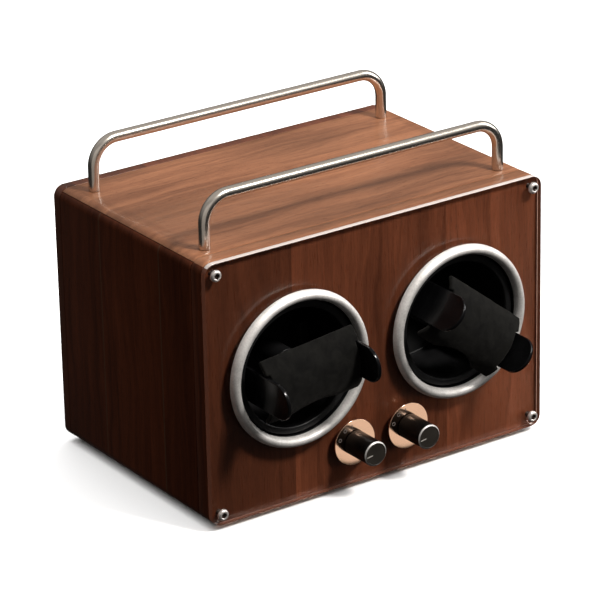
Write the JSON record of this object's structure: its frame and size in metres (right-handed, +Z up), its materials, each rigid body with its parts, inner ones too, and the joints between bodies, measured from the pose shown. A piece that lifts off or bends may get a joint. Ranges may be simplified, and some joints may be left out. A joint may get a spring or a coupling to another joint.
{
  "type": "watch winder",
  "caption": "Wooden box watch winder with clear front, twin rotating drums, spring-loaded watch holders, selector knobs and carrying rails on top.",
  "frame": {"origin": "middle of the footprint, at the bottom of the rubber feet, taken over everything including the holder tips in front and the screw heads behind", "axes": "+X to the right seen from the front, +Y to the back, +Z up"},
  "size_m": [0.21, 0.1762, 0.1749],
  "materials": {
    "walnut": "oiled walnut, satin, grain along X",
    "dark_walnut": "dark walnut veneer staves, satin, grain along Z",
    "clear_acrylic": "clear polished acrylic",
    "nickel": "polished nickel",
    "polished_nickel": "polished nickel plate",
    "steel": "plain zinc-plated steel",
    "rubber": "matte black",
    "black_plastic": "moulded, satin black",
    "gloss_black": "gloss black",
    "circuit_board": "green solder mask",
    "satin_silver": "satin silver plate",
    "flocked_black": "black flock, matte",
    "copper_plate": "rose-gold plated, satin"
  },
  "bodies": {
    "case": {"top_board": "walnut", "bottom_board": "dark_walnut", "left_side_board": "dark_walnut", "right_side_board": "dark_walnut", "front_board": "dark_walnut", "back_panel": "dark_walnut", "acrylic_front_panel": "clear_acrylic", "front_screw_1": "nickel", "front_screw_2": "nickel", "front_screw_3": "nickel", "front_screw_4": "nickel", "back_screw_1": "steel", "back_screw_2": "steel", "back_screw_3": "steel", "back_screw_4": "steel", "front_handle": "polished_nickel", "rear_handle": "polished_nickel", "handle_screw_1": "steel", "handle_screw_2": "steel", "handle_screw_3": "steel", "handle_screw_4": "steel", "foot_1": "rubber", "foot_2": "rubber", "foot_3": "rubber", "foot_4": "rubber", "dc_jack": "black_plastic", "control_board": "circuit_board", "left_bezel_ring": "satin_silver", "left_pod_sleeve": "black_plastic", "left_drive_belt": "rubber", "left_gearmotor": "steel", "left_dial_plate": "copper_plate", "left_rotary_switch": "black_plastic", "right_bezel_ring": "satin_silver", "right_pod_sleeve": "black_plastic", "right_drive_belt": "rubber", "right_gearmotor": "steel", "right_dial_plate": "copper_plate", "right_rotary_switch": "black_plastic"},
    "left_drum": {"left_drum_cup": "black_plastic", "left_drum_pulley": "black_plastic"},
    "left_motor_rotor": {"left_motor_pulley": "black_plastic"},
    "left_holder": {"left_holder_frame": "black_plastic", "left_holder_plate_1": "gloss_black", "left_holder_plate_2": "gloss_black", "left_saddle_spring": "steel"},
    "left_saddle": {"left_saddle_pad": "flocked_black"},
    "left_selector": {"left_knob": "gloss_black", "left_knob_spindle": "steel"},
    "right_drum": {"right_drum_cup": "black_plastic", "right_drum_pulley": "black_plastic"},
    "right_motor_rotor": {"right_motor_pulley": "black_plastic"},
    "right_holder": {"right_holder_frame": "black_plastic", "right_holder_plate_1": "gloss_black", "right_holder_plate_2": "gloss_black", "right_saddle_spring": "steel"},
    "right_saddle": {"right_saddle_pad": "flocked_black"},
    "right_selector": {"right_knob": "gloss_black", "right_knob_spindle": "steel"}
  },
  "joints": [
    {"name": "left_drum_spin", "type": "hinge", "parent": "case", "child": "left_drum", "pos_m": [-0.0503, -0.0311, 0.0768], "axis": [0, 1, 0], "continuous": true},
    {"name": "left_motor_spin", "type": "hinge", "parent": "case", "child": "left_motor_rotor", "pos_m": [-0.0503, 0.0119, 0.0398], "axis": [0, 1, 0], "continuous": true},
    {"name": "left_holder_pull", "type": "slide", "parent": "left_drum", "child": "left_holder", "axis": [0, -1, 0], "range_m": [0, 0.055]},
    {"name": "left_saddle_press", "type": "slide", "parent": "left_holder", "child": "left_saddle", "axis": [0, 1, 0], "range_m": [0, 0.006], "stiffness_N_per_m": 400, "deforming": ["left_saddle_spring"]},
    {"name": "left_selector_turn", "type": "hinge", "parent": "case", "child": "left_selector", "pos_m": [-0.017, -0.0611, 0.0268], "axis": [0, 1, 0], "range_deg": [0, 150]},
    {"name": "right_drum_spin", "type": "hinge", "parent": "case", "child": "right_drum", "pos_m": [0.0503, -0.0311, 0.0768], "axis": [0, 1, 0], "continuous": true},
    {"name": "right_motor_spin", "type": "hinge", "parent": "case", "child": "right_motor_rotor", "pos_m": [0.0503, 0.0119, 0.0398], "axis": [0, 1, 0], "continuous": true},
    {"name": "right_holder_pull", "type": "slide", "parent": "right_drum", "child": "right_holder", "axis": [0, -1, 0], "range_m": [0, 0.055]},
    {"name": "right_saddle_press", "type": "slide", "parent": "right_holder", "child": "right_saddle", "axis": [0, 1, 0], "range_m": [0, 0.006], "stiffness_N_per_m": 400, "deforming": ["right_saddle_spring"]},
    {"name": "right_selector_turn", "type": "hinge", "parent": "case", "child": "right_selector", "pos_m": [0.017, -0.0611, 0.0268], "axis": [0, 1, 0], "range_deg": [0, 150]}
  ],
  "couplings": [
    {"joint": "left_motor_spin", "follows": "left_drum_spin", "ratio": 3.1429},
    {"joint": "right_motor_spin", "follows": "right_drum_spin", "ratio": 3.1429}
  ]
}
